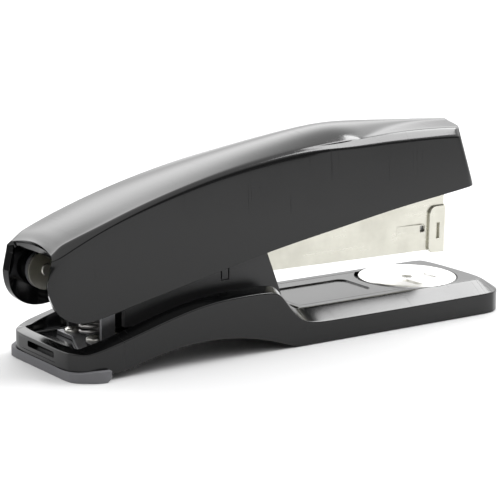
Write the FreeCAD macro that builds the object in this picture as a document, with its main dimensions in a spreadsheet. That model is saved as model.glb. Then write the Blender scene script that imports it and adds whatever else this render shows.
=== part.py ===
import FreeCAD, Part
import math
import os
import Sketcher
from FreeCAD import Placement, Rotation, Vector

# A half-strip desk stapler.  Millimetres, +Z up, +X towards the nose.  The origin is the point of
# the table under the middle of the anvil disc.  The cover, the magazine and the driver turn on one
# hinge axis near the back, so their pieces are drawn from that axis and placed on it.

document = FreeCAD.newDocument("stapler")
sheet = document.addObject("Spreadsheet::Sheet", "sizes")


class Size:
    """A size with its number now and the formula that binds it to the sheet."""

    def __init__(self, number, formula):
        self.number = number
        self.formula = formula

    def __add__(self, other):
        other = as_size(other)
        return Size(self.number + other.number, f"({self.formula} + {other.formula})")

    def __radd__(self, other):
        return as_size(other) + self

    def __sub__(self, other):
        other = as_size(other)
        return Size(self.number - other.number, f"({self.formula} - {other.formula})")

    def __rsub__(self, other):
        return as_size(other) - self

    def __mul__(self, other):
        other = as_size(other)
        return Size(self.number * other.number, f"({self.formula} * {other.formula})")

    def __rmul__(self, other):
        return as_size(other) * self

    def __truediv__(self, other):
        other = as_size(other)
        return Size(self.number / other.number, f"({self.formula} / {other.formula})")

    def __neg__(self):
        return Size(-self.number, f"(0 - {self.formula})")


def as_size(value):
    if isinstance(value, Size):
        return value
    return Size(float(value), f"({float(value):.6f})")


def size(alias, number):
    """Write one driving size into the sheet."""
    row = len(sheet.getUsedCells()) // 2 + 1
    sheet.set(f"A{row}", alias)
    sheet.set(f"B{row}", str(number))
    sheet.setAlias(f"B{row}", alias)
    return Size(float(number), f"sizes.{alias}")


def other_leg(hypotenuse, leg):
    """The second short side of a right triangle."""
    number = math.sqrt(hypotenuse.number ** 2 - leg.number ** 2)
    return Size(number, f"sqrt({hypotenuse.formula} ^ 2 - {leg.formula} ^ 2)")


# Overall sizes
reach = size("reach", 113.3)                      # hinge axis to the middle of the anvil
hinge_height = size("hinge_height", 23.6)
magazine_droop = size("magazine_droop", 0.86)     # degrees nose-down at rest
base_width = size("base_width", 38)
cover_width = size("cover_width", 25)
housing_width = size("housing_width", 20.4)
channel_width = size("channel_width", 15)

# Base moulding
base_overhang = size("base_overhang", 6)          # behind the hinge axis
base_nose = size("base_nose", 22.3)               # ahead of the anvil's middle
deck_height = size("deck_height", 9)
deck_bevel_width = size("deck_bevel_width", 5)
deck_bevel_drop = size("deck_bevel_drop", 3)
saddle_height = size("saddle_height", 16.4)
throat_top = size("throat_top", 62)               # behind the anvil's middle
throat_foot = size("throat_foot", 48)
rim_height = size("rim_height", 7.4)
arch_height = size("arch_height", 6)
sole_gap = size("sole_gap", 0.3)                  # table to the moulding's lowest edge
base_wall = size("base_wall", 2.5)
base_skin = size("base_skin", 2)
well_width = size("well_width", 28)
well_end = size("well_end", 49.5)                 # behind the anvil's middle
well_floor = size("well_floor", 5.8)
front_corner = size("front_corner", 8)
rear_corner = size("rear_corner", 8.5)
rear_slot_width = size("rear_slot_width", 13.5)
rear_slot_height = size("rear_slot_height", 2)
rear_slot_bottom = size("rear_slot_bottom", 4.1)
rear_slot_depth = size("rear_slot_depth", 1.7)

# Deck panel and anvil
panel_width = size("panel_width", 23)
panel_sheet = size("panel_sheet", 1)
panel_start = size("panel_start", 46.8)           # behind the anvil's middle
panel_gap = size("panel_gap", 0.15)
tray_length = size("tray_length", 24)
tray_width = size("tray_width", 14)
tray_depth = size("tray_depth", 0.35)
tray_end = size("tray_end", 18)
disc_diameter = size("disc_diameter", 28)
disc_sheet = size("disc_sheet", 1.2)
disc_rise = size("disc_rise", 0.2)                # above the deck
disc_gap = size("disc_gap", 0.3)
closing_groove = size("closing_groove", 5)        # ahead of the anvil's middle
pinning_groove = size("pinning_groove", 4.4)      # behind it
groove_width = size("groove_width", 1.7)
groove_depth = size("groove_depth", 0.5)
stud_radius = size("stud_radius", 1.5)
stud_head = size("stud_head", 2.3)
running_gap = size("running_gap", 0.06)           # pins and studs that turn

# Feet
foot_width = size("foot_width", 41)
foot_height = size("foot_height", 3)
foot_sole = size("foot_sole", 2.2)
foot_lip = size("foot_lip", 0.9)
foot_length = size("foot_length", 9.7)
front_foot_length = size("front_foot_length", 12)
front_foot_width = size("front_foot_width", 31)
front_foot_height = size("front_foot_height", 1.6)
pillar_radius = size("pillar_radius", 4.5)
pillar_y = size("pillar_y", 10.8)
stem_radius = size("stem_radius", 1.5)
stem_length = size("stem_length", 3)

# Hinge
pin_radius = size("pin_radius", 1.6)
ear_radius = size("ear_radius", 5.2)
sheet_steel = size("sheet_steel", 0.8)
side_gap = size("side_gap", 0.3)                  # between plates that turn past each other
bracket_sheet = size("bracket_sheet", 1)
bracket_front = size("bracket_front", 15)         # ahead of the hinge axis
bracket_back = size("bracket_back", 3.9)          # ahead of it too
arm_front = size("arm_front", 10.8)               # ahead of it too
arm_width = size("arm_width", 4)
arm_shoulder = size("arm_shoulder", 7)            # below the hinge axis
catch_width = size("catch_width", 2.6)
catch_length = size("catch_length", 12)
cover_radius = size("cover_radius", 10.2)
boss_radius = size("boss_radius", 4.6)
boss_gap = size("boss_gap", 0.4)
screw_radius = size("screw_radius", 1.2)
screw_head = size("screw_head", 2.1)
screw_head_height = size("screw_head_height", 1.1)
screw_depth = size("screw_depth", 1.3)            # thread below the well floor

# Magazine
channel_bottom = size("channel_bottom", 4.1)      # below the hinge axis
channel_top = size("channel_top", 11.5)           # above the hinge axis
nose_overhang = size("nose_overhang", 7)          # ahead of the anvil's middle
nose_wrap = size("nose_wrap", 6.3)
nose_top = size("nose_top", 8.5)
driver_slot = size("driver_slot", 1.65)
staple_crown = size("staple_crown", 12.7)
staple_leg = size("staple_leg", 6)
staple_wire = size("staple_wire", 0.5)
strip_length = size("strip_length", 20)
staple_gap = size("staple_gap", 0.25)
rail_start = size("rail_start", 20)               # ahead of the hinge axis
rivet_radius = size("rivet_radius", 1)
rod_height = size("rod_height", 6.6)
rod_radius = size("rod_radius", 1.2)
bridge_start = size("bridge_start", 27)
pusher_length = size("pusher_length", 10)
housing_start = size("housing_start", 13)
housing_skin = size("housing_skin", 1.6)
housing_depth = size("housing_depth", 13.1)       # below the hinge axis

# Cover and driver
cover_wall = size("cover_wall", 1.9)
cover_roof = size("cover_roof", 2.2)
cover_nose = size("cover_nose", 7.7)              # ahead of the anvil's middle, top edge
nose_bow = size("nose_bow", 4.5)
carrier_height = size("carrier_height", 22.5)
carrier_width = size("carrier_width", 16.6)
blade_sheet = size("blade_sheet", 0.6)
blade_width = size("blade_width", 12.4)
blade_bottom = size("blade_bottom", 2.7)          # above the hinge axis
blade_middle = size("blade_middle", 5.05)         # ahead of the anvil's middle

# Springs
return_spring_x = size("return_spring_x", 9.3)    # ahead of the hinge axis
return_spring_radius = size("return_spring_radius", 3.1)
return_wire = size("return_wire", 0.45)           # wire radius
pusher_spring_radius = size("pusher_spring_radius", 2.1)
pusher_wire = size("pusher_wire", 0.3)            # wire radius
leaf_sheet = size("leaf_sheet", 0.5)
leaf_width = size("leaf_width", 14.4)

NOSE_SLOPE = 0.304                                # run over rise of the cover's front face
CATCH_TURN = 247                                  # way of the bracket's catch, from the nose round
PLANES = {"top": "XY_Plane", "side": "XZ_Plane", "end": "YZ_Plane"}


def bind(item, name, value):
    """Give a property its number, and its formula in the sheet."""
    value = as_size(value)
    item.setExpression(name, value.formula)


def new_body(label, at_hinge=False, droop=False, forward=0, up=0):
    """A body drawn from the origin, or from the hinge axis and turned down with the magazine."""
    body = document.addObject("PartDesign::Body", label)
    body.Label = label
    body.AllowCompound = True
    if at_hinge:
        angle = magazine_droop.number if droop else 0
        turn = Rotation(Vector(0, 1, 0), angle)
        forward = as_size(forward)
        up = as_size(up)
        offset = turn.multVec(Vector(forward.number, 0, up.number))
        body.Placement = Placement(Vector(-reach.number, 0, hinge_height.number) + offset, turn)
        if droop:
            lean = f"({magazine_droop.formula} * 1 deg)"
            along = f"{forward.formula} * cos{lean} + {up.formula} * sin{lean}"
            rise = f"{up.formula} * cos{lean} - {forward.formula} * sin{lean}"
            body.setExpression("Placement.Rotation.Angle", lean)
        else:
            along = forward.formula
            rise = up.formula
        body.setExpression("Placement.Base.x", f"{along} - {reach.formula}")
        body.setExpression("Placement.Base.z", f"{hinge_height.formula} + {rise}")
    return body


def new_sketch(body, name, view, shift=0, offset_x=0, lean=0):
    """A sketch on one of the body's own planes, moved along its normal by shift."""
    sketch = body.newObject("Sketcher::SketchObject", f"{body.Label}_{name}")
    plane = next(item for item in body.Origin.OriginFeatures if item.Role == PLANES[view])
    shift = as_size(shift)
    offset_x = as_size(offset_x)
    sketch.AttachmentSupport = [(plane, "")]
    sketch.MapMode = "FlatFace"
    turn = Rotation(Vector(0, 1, 0), lean)
    sketch.AttachmentOffset = Placement(Vector(offset_x.number, 0, shift.number), turn)
    sketch.setExpression("AttachmentOffset.Base.x", offset_x.formula)
    sketch.setExpression("AttachmentOffset.Base.z", shift.formula)
    return sketch


def fix_point(sketch, geometry, point, x, y):
    """Hold one point of the sketch at its two distances from the origin."""
    for kind, value, axis in (("DistanceX", as_size(x), -2), ("DistanceY", as_size(y), -1)):
        if abs(value.number) < 1e-9:
            sketch.addConstraint(Sketcher.Constraint("PointOnObject", geometry, point, axis))
        else:
            rule = Sketcher.Constraint(kind, geometry, point, value.number)
            index = sketch.addConstraint(rule)
            sketch.setExpression(f"Constraints[{index}]", value.formula)


def flat(place):
    return Vector(as_size(place[0]).number, as_size(place[1]).number, 0)


def end_of(sketch, geometry, place):
    """Which end of a line or arc lies at the place: 1 for its start, 2 for its end."""
    start = sketch.getPoint(geometry, 1)
    end = sketch.getPoint(geometry, 2)
    return 1 if (start - flat(place)).Length < (end - flat(place)).Length else 2


def outline(sketch, steps):
    """A closed outline.  (x, y) is reached by a line, (middle x, middle y, x, y) by an arc."""
    first = steps[0]
    here = first
    path = list(steps[1:])
    if (flat(path[-1][-2:]) - flat(first)).Length > 1e-6:
        path.append(first)
    edges = []
    for step in path:
        there = step[-2:]
        if len(step) == 2:
            shape = Part.LineSegment(flat(here), flat(there))
            edges.append((sketch.addGeometry(shape, False), here, there))
        else:
            middle = step[:2]
            shape = Part.Arc(flat(here), flat(middle), flat(there))
            arc = sketch.addGeometry(shape, False)
            edges.append((arc, here, there))
            mark = sketch.addGeometry(Part.Point(flat(middle)), True)
            sketch.addConstraint(Sketcher.Constraint("PointOnObject", mark, 1, arc))
            fix_point(sketch, mark, 1, *middle)
        here = there
    for (edge, _, corner), (following, _, _) in zip(edges, edges[1:] + edges[:1]):
        ends = (edge, end_of(sketch, edge, corner), following, end_of(sketch, following, corner))
        sketch.addConstraint(Sketcher.Constraint("Coincident", *ends))
        fix_point(sketch, ends[0], ends[1], *corner)


def rectangle(sketch, x0, y0, x1, y1):
    outline(sketch, [(x0, y0), (x1, y0), (x1, y1), (x0, y1)])


def round_ended(sketch, square_end, round_end, half, radius):
    """A plan with two square corners at one end and two round ones at the other."""
    forward = 1 if round_end.number > as_size(square_end).number else -1
    turn_in = round_end - forward * radius
    middle_x = round_end - forward * radius * corner_inset
    middle_y = half - radius * corner_inset
    outline(sketch, [
        (square_end, -half),
        (turn_in, -half),
        (middle_x, -middle_y, round_end, -half + radius),
        (round_end, half - radius),
        (middle_x, middle_y, turn_in, half),
        (square_end, half),
    ])


def slanted_bar(sketch, start_x, turn, length, half):
    """A bar with one round end, that leaves the X axis at an angle in degrees."""
    ahead_x, ahead_y = math.cos(math.radians(turn)), math.sin(math.radians(turn))
    far_x = start_x + length * ahead_x
    far_y = length * ahead_y
    outline(sketch, [
        (start_x - half * ahead_y, half * ahead_x),
        (far_x - half * ahead_y, far_y + half * ahead_x),
        (far_x + half * ahead_x, far_y + half * ahead_y, far_x + half * ahead_y, far_y - half * ahead_x),
        (start_x + half * ahead_y, -half * ahead_x),
    ])


def circle(sketch, x, y, radius):
    radius = as_size(radius)
    shape = Part.Circle(flat((x, y)), Vector(0, 0, 1), radius.number)
    geometry = sketch.addGeometry(shape, False)
    index = sketch.addConstraint(Sketcher.Constraint("Radius", geometry, radius.number))
    sketch.setExpression(f"Constraints[{index}]", radius.formula)
    fix_point(sketch, geometry, 3, x, y)


def extrude(kind, sketch, length, both_ways=False, flip=False):
    """Pad or Pocket of a sketch in its own body."""
    body = sketch.getParentGeoFeatureGroup()
    feature = body.newObject(f"PartDesign::{kind}", f"{sketch.Name}_{kind.lower()}")
    feature.Profile = sketch
    feature.SideType = "Symmetric" if both_ways else "One side"
    feature.Reversed = flip
    bind(feature, "Length", length)
    sketch.Visibility = False
    return feature


def pad(sketch, length, both_ways=False, flip=False):
    return extrude("Pad", sketch, length, both_ways, flip)


def pocket(sketch, length, both_ways=False, flip=False):
    """Cut, and stop if nothing was cut."""
    document.recompute()
    body = sketch.getParentGeoFeatureGroup()
    before = body.Shape.Volume
    feature = extrude("Pocket", sketch, length, both_ways, flip)
    document.recompute()
    if feature.Shape.Volume > before - 1e-3:
        raise RuntimeError(f"{feature.Name} cuts nothing")
    return feature


def edge_names(feature, wanted):
    document.recompute()
    names = [f"Edge{n}" for n, edge in enumerate(feature.Shape.Edges, 1) if wanted(edge)]
    if not names:
        raise RuntimeError(f"no edges found on {feature.Name}")
    return names


def round_edges(feature, radius, wanted):
    body = feature.getParentGeoFeatureGroup()
    names = edge_names(feature, wanted)
    fillet = body.newObject("PartDesign::Fillet", f"{feature.Name}_round")
    fillet.Base = (feature, names)
    bind(fillet, "Radius", radius)
    document.recompute()
    return fillet


def bevel_edges(feature, width, drop, wanted):
    """Chamfer with two distances."""
    body = feature.getParentGeoFeatureGroup()
    names = edge_names(feature, wanted)
    chamfer = body.newObject("PartDesign::Chamfer", f"{feature.Name}_bevel")
    chamfer.Base = (feature, names)
    chamfer.ChamferType = "Two distances"
    bind(chamfer, "Size", width)
    bind(chamfer, "Size2", drop)
    document.recompute()
    return chamfer


def upright_at(x=None, y=None):
    """Edges along Z, at an x or a y or both."""
    def wanted(edge):
        box = edge.BoundBox
        if box.XLength > 1e-3 or box.YLength > 1e-3:
            return False
        x_fits = x is None or abs(box.XMin - as_size(x).number) < 1e-3
        y_fits = y is None or abs(abs(box.YMin) - as_size(y).number) < 1e-3
        return x_fits and y_fits
    return wanted


def crosswise_at(x, z):
    """Edges along Y that stand at one x and one z."""
    def wanted(edge):
        box = edge.BoundBox
        along = box.XLength < 1e-3 and box.ZLength < 1e-3
        x_fits = abs(box.XMin - as_size(x).number) < 1e-3
        z_fits = abs(box.ZMin - as_size(z).number) < 1e-3
        return along and x_fits and z_fits
    return wanted


def coil(label, body, start, length, radius, wire, turns, axis):
    """A coil spring round the H or V axis of its body's side view."""
    sketch = new_sketch(body, "wire", "side")
    if axis == "V_Axis":
        circle(sketch, radius, start + wire, wire)
    else:
        circle(sketch, start + wire, radius, wire)
    spring = body.newObject("PartDesign::AdditiveHelix", f"{label}_coil")
    spring.Profile = sketch
    spring.ReferenceAxis = (sketch, [axis])
    spring.Mode = "pitch-height-angle"
    rise = length - 2 * wire
    bind(spring, "Height", rise)
    bind(spring, "Pitch", rise / turns)
    return spring


def slope_of(run, rise):
    """Angle in degrees of a face that leans in by run over its rise, for a pad's taper."""
    number = -math.degrees(math.atan2(run.number, rise.number))
    return Size(number, f"(0 - atan({run.formula} / {rise.formula}) / 1 deg)")


# Places that several pieces share
corner_inset = 1 - math.sqrt(0.5)                 # of its radius, where a round corner is cut
bevel_foot = deck_height - deck_bevel_drop
base_back = -(reach + base_overhang)
foot_front = base_back - foot_lip + foot_length
well_back = base_back + base_wall + 0.3
disc_top = deck_height + disc_rise
disc_bottom = disc_top - disc_sheet
disc_seat = disc_bottom - 0.05
panel_seat = deck_height - panel_sheet
cavity_top = panel_seat - 1.8
stud_foot = cavity_top - 1.6
channel_half = channel_width / 2
channel_inside = channel_half - sheet_steel
channel_floor = -channel_bottom + sheet_steel
bracket_inside = channel_half + side_gap
bracket_outside = bracket_inside + bracket_sheet
bracket_top = well_floor + bracket_sheet
boss_inside = bracket_outside + boss_gap
cover_half = cover_width / 2
cover_inside = cover_half - cover_wall
nose_front = reach + nose_overhang
nose_inside = nose_front - sheet_steel
channel_front = nose_inside
slot_back = nose_inside - driver_slot
crown_half = staple_crown / 2
leg_tip = channel_floor + 0.35
crown_top = leg_tip + staple_leg
rail_half = crown_half - staple_wire - staple_gap
rail_top = crown_top - staple_wire - 0.1
strip_back = slot_back - strip_length
pusher_back = strip_back - pusher_length - 0.05
bridge_front = reach + 1.5
bridge_sheet = sheet_steel
carrier_top = carrier_height + 1
blade_back = reach + blade_middle - blade_sheet / 2
blade_front = blade_back + blade_sheet


def base_shell():
    """One moulding: deck and nose in front, side walls round an open well behind."""
    body = new_body("base_shell")
    side = new_sketch(body, "side", "side")
    outline(side, [
        (base_back, foot_sole),
        (base_back, rim_height),
        (base_back + 4, rim_height),
        (-throat_top - 28, saddle_height - 2.4, -throat_top, saddle_height),
        (-throat_top + 4.2, saddle_height - 1.3, -throat_top + 6.6, saddle_height - 3.9),
        (-throat_foot - 4, bevel_foot + 2.6, -throat_foot + 5, bevel_foot),
        (base_nose, bevel_foot),
        (base_nose, sole_gap + 3.2),
        (base_nose - 1.2, sole_gap + 0.9, base_nose - 3.4, sole_gap),
        (-throat_foot - 5, sole_gap),
        (-throat_foot - 33, arch_height, foot_front, sole_gap),
        (foot_front, foot_sole),
    ])
    block = pad(side, base_width, both_ways=True)
    block = round_edges(block, front_corner, upright_at(x=base_nose))
    block = round_edges(block, rear_corner, upright_at(x=base_back))

    deck = new_sketch(body, "deck", "top", shift=bevel_foot)
    round_ended(deck, -throat_top, base_nose, base_width / 2, front_corner)
    raised = pad(deck, deck_bevel_drop)
    bind(raised, "TaperAngle", slope_of(deck_bevel_width, deck_bevel_drop))

    well = new_sketch(body, "well", "side")
    outline(well, [
        (well_back, saddle_height + 20),
        (well_back, well_floor),
        (-reach + bracket_front + 0.5, well_floor),
        (-throat_foot - 33, arch_height + base_skin + 0.2, -throat_foot - 7, base_skin + 1.4),
        (-well_end, base_skin + 1),
        (-well_end, saddle_height + 20),
    ])
    block = pocket(well, well_width, both_ways=True)
    block = round_edges(block, rear_corner - base_wall, upright_at(x=well_back, y=well_width / 2))

    cavity = new_sketch(body, "cavity", "top")
    cavity_half = base_width / 2 - base_wall
    rectangle(cavity, -well_end + 3.5, -cavity_half, base_nose - 6.5, cavity_half)
    block = pocket(cavity, 2 * cavity_top, both_ways=True)
    block = round_edges(block, front_corner - base_wall, upright_at(x=base_nose - 6.5))

    ribs = new_sketch(body, "ribs", "top", shift=sole_gap + 1)
    for step in (0, 12):
        rib_x = -panel_start + 12 + step
        rectangle(ribs, rib_x, -cavity_half - 0.2, rib_x + 1.4, cavity_half + 0.2)
    pad(ribs, cavity_top - sole_gap - 0.8)

    pillars = new_sketch(body, "pillars", "top", shift=front_foot_height)
    for y in (-pillar_y, pillar_y):
        circle(pillars, 0, y, pillar_radius)
    pad(pillars, cavity_top - front_foot_height + 0.2)
    stems = new_sketch(body, "stems", "top", shift=front_foot_height)
    for y in (-pillar_y, pillar_y):
        circle(stems, 0, y, stem_radius)
    pocket(stems, stem_length + 0.2, flip=True)

    panel_place = new_sketch(body, "panel_place", "top", shift=deck_height)
    panel_half = panel_width / 2 + panel_gap
    rectangle(panel_place, -panel_start - panel_gap, -panel_half, 0, panel_half)
    pocket(panel_place, panel_sheet)
    disc_place = new_sketch(body, "disc_place", "top", shift=deck_height)
    circle(disc_place, 0, 0, disc_diameter / 2 + disc_gap)
    pocket(disc_place, deck_height - disc_seat)
    stud_place = new_sketch(body, "stud_place", "top")
    circle(stud_place, 0, 0, stud_radius + running_gap)
    pocket(stud_place, 2 * deck_height, both_ways=True)

    slot = new_sketch(body, "slot", "end", shift=base_back)
    slot_half = rear_slot_width / 2
    slot_top = rear_slot_bottom + rear_slot_height
    rectangle(slot, -slot_half, rear_slot_bottom, slot_half, slot_top)
    pocket(slot, 2 * rear_slot_depth, both_ways=True)

    screws = new_sketch(body, "screws", "top", shift=well_floor)
    for x, y in bracket_screw_places():
        circle(screws, x, y, screw_radius)
    pocket(screws, screw_depth)
    return body


def bracket_screw_places():
    """Four screws in the sole, clear of the spring that stands between them."""
    inset = screw_head + 0.6
    y = bracket_inside - screw_head - 0.3
    places = []
    for x in (-reach + bracket_back + inset, -reach + bracket_front - inset):
        places += [(x, -y), (x, y)]
    return places


def deck_panel():
    body = new_body("deck_panel")
    plan = new_sketch(body, "plan", "top", shift=panel_seat)
    half = panel_width / 2
    bay_radius = disc_diameter / 2 + disc_gap + 0.8
    bay_end = -other_leg(bay_radius, half)
    outline(plan, [
        (-panel_start, -half),
        (bay_end, -half),
        (-bay_radius, 0, bay_end, half),
        (-panel_start, half),
    ])
    pad(plan, panel_sheet)
    tray = new_sketch(body, "tray", "top", shift=deck_height)
    tray_half = tray_width / 2
    rectangle(tray, -tray_end - tray_length, -tray_half, -tray_end, tray_half)
    block = pocket(tray, tray_depth)

    def tray_corner(edge):
        box = edge.BoundBox
        return box.XLength < 1e-3 and box.YLength < 1e-3 and box.ZLength < tray_depth.number + 1e-3

    round_edges(block, 2.4, tray_corner)
    return body


def rear_foot():
    """Rubber sole whose low lip wraps the back corners of the moulding."""
    body = new_body("rear_foot")
    plan = new_sketch(body, "plan", "top")
    round_ended(plan, foot_front, base_back - foot_lip, foot_width / 2, rear_corner + foot_lip)
    pad(plan, foot_height)
    seat = new_sketch(body, "seat", "top", shift=foot_height)
    round_ended(seat, foot_front + 2, base_back, base_width / 2, rear_corner)
    block = pocket(seat, foot_height - foot_sole)
    bevel_edges(block, 1.2, 1.2, crosswise_at(foot_front, 0))
    return body


def front_foot():
    """Rubber bar under the anvil, with two stems that plug into the moulding."""
    body = new_body("front_foot")
    sole = new_sketch(body, "sole", "top")
    half_length = front_foot_length / 2
    half_width = front_foot_width / 2
    rectangle(sole, -half_length, -half_width, half_length, half_width)
    block = pad(sole, front_foot_height)
    round_edges(block, 3, upright_at(y=half_width))
    stems = new_sketch(body, "stems", "top")
    for y in (-pillar_y, pillar_y):
        circle(stems, 0, y, stem_radius)
    pad(stems, front_foot_height + stem_length)
    return body


def anvil_disc():
    """Steel disc with a pair of inward grooves and, half a turn away, an outward pair."""
    body = new_body("anvil_disc")
    plan = new_sketch(body, "plan", "top", shift=disc_bottom)
    circle(plan, 0, 0, disc_diameter / 2)
    circle(plan, 0, 0, stud_radius)
    block = pad(plan, disc_sheet)

    def top_rim(edge):
        box = edge.BoundBox
        return abs(box.ZMin - disc_top.number) < 1e-3 and box.XLength > disc_diameter.number - 1

    round_edges(block, 0.35, top_rim)
    grooves = new_sketch(body, "grooves", "top", shift=disc_top)
    groove_half = groove_width / 2
    closing = (closing_groove, 0.35, crown_half + 0.4)
    pinning = (-pinning_groove, crown_half - 1.9, crown_half + 4.5)
    for x, inner, outer in (closing, pinning):
        for side in (-1, 1):
            rectangle(grooves, x - groove_half, side * inner, x + groove_half, side * outer)
    pocket(grooves, groove_depth)
    return body


def anvil_stud():
    """Rivet that turns with the disc: a low head, the shank and a collar under the deck."""
    body = new_body("anvil_stud")
    side = new_sketch(body, "side", "side")
    collar = stud_foot - 0.8
    outline(side, [
        (0, collar),
        (stud_head, collar),
        (stud_head, stud_foot),
        (stud_radius, stud_foot),
        (stud_radius, disc_top),
        (stud_head, disc_top),
        (stud_head, disc_top + 0.12),
        (stud_head * 0.7, disc_top + 0.42),
        (0, disc_top + 0.42),
    ])
    turned = body.newObject("PartDesign::Revolution", "anvil_stud_turned")
    turned.Profile = side
    turned.ReferenceAxis = (side, ["V_Axis"])
    turned.Angle = 360
    return body


def anvil_spring():
    """Dished washer that pulls the disc down on its seat."""
    body = new_body("anvil_spring")
    side = new_sketch(body, "side", "side")
    inner = stud_radius + 0.2
    outer = stud_radius + 3.5
    outline(side, [
        (inner, stud_foot),
        (inner + 0.5, stud_foot),
        (outer, cavity_top - 0.4),
        (outer, cavity_top),
        (outer - 0.5, cavity_top),
        (inner, stud_foot + 0.4),
    ])
    turned = body.newObject("PartDesign::Revolution", "anvil_spring_turned")
    turned.Profile = side
    turned.ReferenceAxis = (side, ["V_Axis"])
    turned.Angle = 360
    return body


def hinge_bracket():
    """Steel bracket: a sole on the well floor and two arms whose ears hold the hinge studs."""
    body = new_body("hinge_bracket")
    arm = new_sketch(body, "arm", "side")
    ear_x = -reach + ear_radius / 2
    ear_rise = ear_radius * math.sqrt(0.75)
    front = -reach + arm_front
    outline(arm, [
        (ear_x, hinge_height + ear_rise),
        (-reach - ear_radius, hinge_height, ear_x, hinge_height - ear_rise),
        (front - arm_width, hinge_height - arm_shoulder),
        (front - arm_width, bracket_top),
        (-reach + bracket_back, bracket_top),
        (-reach + bracket_back, well_floor),
        (-reach + bracket_front, well_floor),
        (-reach + bracket_front, bracket_top),
        (front, bracket_top),
        (front, hinge_height - arm_shoulder),
    ])
    pad(arm, 2 * bracket_outside, both_ways=True)
    between = new_sketch(body, "between", "end", shift=-reach)
    rectangle(between, -bracket_inside, bracket_top, bracket_inside, hinge_height + 2 * ear_radius)
    pocket(between, 4 * bracket_front, both_ways=True)
    holes = new_sketch(body, "holes", "side")
    circle(holes, -reach, hinge_height, pin_radius)
    pocket(holes, 4 * bracket_outside, both_ways=True)
    catch = new_sketch(body, "catch", "top", shift=well_floor)
    slanted_bar(catch, -reach + bracket_back + 1, CATCH_TURN, catch_length, catch_width / 2)
    pad(catch, bracket_sheet)
    screws = new_sketch(body, "screws", "top", shift=bracket_top)
    for x, y in bracket_screw_places():
        circle(screws, x, y, screw_radius)
    pocket(screws, 2 * bracket_sheet)
    return body


def bracket_screws():
    body = new_body("bracket_screws")
    shanks = new_sketch(body, "shanks", "top", shift=well_floor - screw_depth)
    for x, y in bracket_screw_places():
        circle(shanks, x, y, screw_radius)
    pad(shanks, screw_depth + bracket_sheet)
    heads = new_sketch(body, "heads", "top", shift=bracket_top)
    for x, y in bracket_screw_places():
        circle(heads, x, y, screw_head)
    pad(heads, screw_head_height)
    return body


def hinge_studs():
    """Two short studs, one on each side, that leave the middle of the hinge open."""
    body = new_body("hinge_studs", at_hinge=True)
    side = new_sketch(body, "side", "side")
    circle(side, 0, 0, pin_radius)
    pad(side, 2 * (cover_inside + 1), both_ways=True)
    middle = new_sketch(body, "middle", "side")
    circle(middle, 0, 0, pin_radius + 1)
    pocket(middle, 2 * (channel_inside - 0.4), both_ways=True)
    return body


def return_spring():
    """Coil that stands on the bracket and holds the magazine up."""
    body = new_body("return_spring", at_hinge=True, forward=return_spring_x)
    lean = math.tan(math.radians(magazine_droop.number))
    start = bracket_top - hinge_height
    length = -channel_bottom - lean * (return_spring_x + return_spring_radius) - 0.25 - start
    coil("return_spring", body, start, length, return_spring_radius, return_wire, 8, "V_Axis")
    return body


def magazine_channel():
    """Folded steel channel, open at the top, with ears round the hinge studs."""
    body = new_body("magazine_channel", at_hinge=True, droop=True)
    side = new_sketch(body, "side", "side")
    outline(side, [
        (channel_front, -channel_bottom),
        (channel_front, channel_top),
        (40, channel_top),
        (14, ear_radius + 2.4),
        (0, ear_radius),
        (-ear_radius, 0, 0, -ear_radius),
        (8, -channel_bottom),
    ])
    pad(side, channel_width, both_ways=True)
    inside = new_sketch(body, "inside", "side")
    outline(inside, [
        (-2 * ear_radius, -2 * ear_radius),
        (7.5, -2 * ear_radius),
        (7.5, channel_floor),
        (channel_front + 1, channel_floor),
        (channel_front + 1, 2 * channel_top),
        (-2 * ear_radius, 2 * channel_top),
    ])
    pocket(inside, 2 * channel_inside, both_ways=True)
    holes = new_sketch(body, "holes", "side")
    circle(holes, 0, 0, pin_radius + running_gap)
    pocket(holes, 2 * channel_width, both_ways=True)
    mouth = new_sketch(body, "mouth", "top", shift=-channel_bottom)
    rectangle(mouth, slot_back, -channel_inside, channel_front + 1, channel_inside)
    pocket(mouth, 4, both_ways=True)

    louvre = new_sketch(body, "louvre", "top", shift=2.35)
    louvre_back = nose_front - 17.5
    louvre_end = nose_front - 8
    for side_sign in (-1, 1):
        outline(louvre, [
            (louvre_back, side_sign * (channel_half - 0.1)),
            (louvre_end, side_sign * (channel_half - 0.1)),
            (louvre_end, side_sign * (channel_half + 0.7)),
            (louvre_back, side_sign * (channel_half + 0.05)),
        ])
    pad(louvre, 2.4, both_ways=True)
    window = new_sketch(body, "window", "side")
    rectangle(window, louvre_end - 1.6, 1.4, louvre_end + 0.6, 3.3)
    pocket(window, 2 * channel_width, both_ways=True)

    rivets = new_sketch(body, "rivets", "top")
    for x, y in rail_rivet_places():
        circle(rivets, x, y, rivet_radius)
    pocket(rivets, 4 * channel_bottom, both_ways=True)
    return body


def rail_rivet_places():
    return [(rail_start + 2.4, y) for y in (-3, 3)]


def nose_plate():
    """Steel cap folded round the front of the channel."""
    body = new_body("nose_plate", at_hinge=True, droop=True)
    bottom = -channel_bottom - sheet_steel
    outside = channel_half + sheet_steel
    plan = new_sketch(body, "plan", "top", shift=bottom)
    rectangle(plan, nose_front - nose_wrap, -outside, nose_front, outside)
    block = pad(plan, nose_top - bottom)
    block = round_edges(block, 1.2, upright_at(x=nose_front))
    inside = new_sketch(body, "inside", "top", shift=bottom)
    rectangle(inside, nose_front - 2 * nose_wrap, -channel_half, nose_inside, channel_half)
    block = pocket(inside, 2 * nose_top - 2 * bottom, flip=True)
    block = round_edges(block, 2.3, crosswise_at(nose_front - nose_wrap, nose_top))
    block = round_edges(block, 1.7, crosswise_at(nose_front - nose_wrap, bottom))
    slit = new_sketch(body, "slit", "side")
    rectangle(slit, nose_front - 3.6, -0.9, nose_front - 2.6, 3.6)
    pocket(slit, 3 * channel_width, both_ways=True)
    return body


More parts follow.
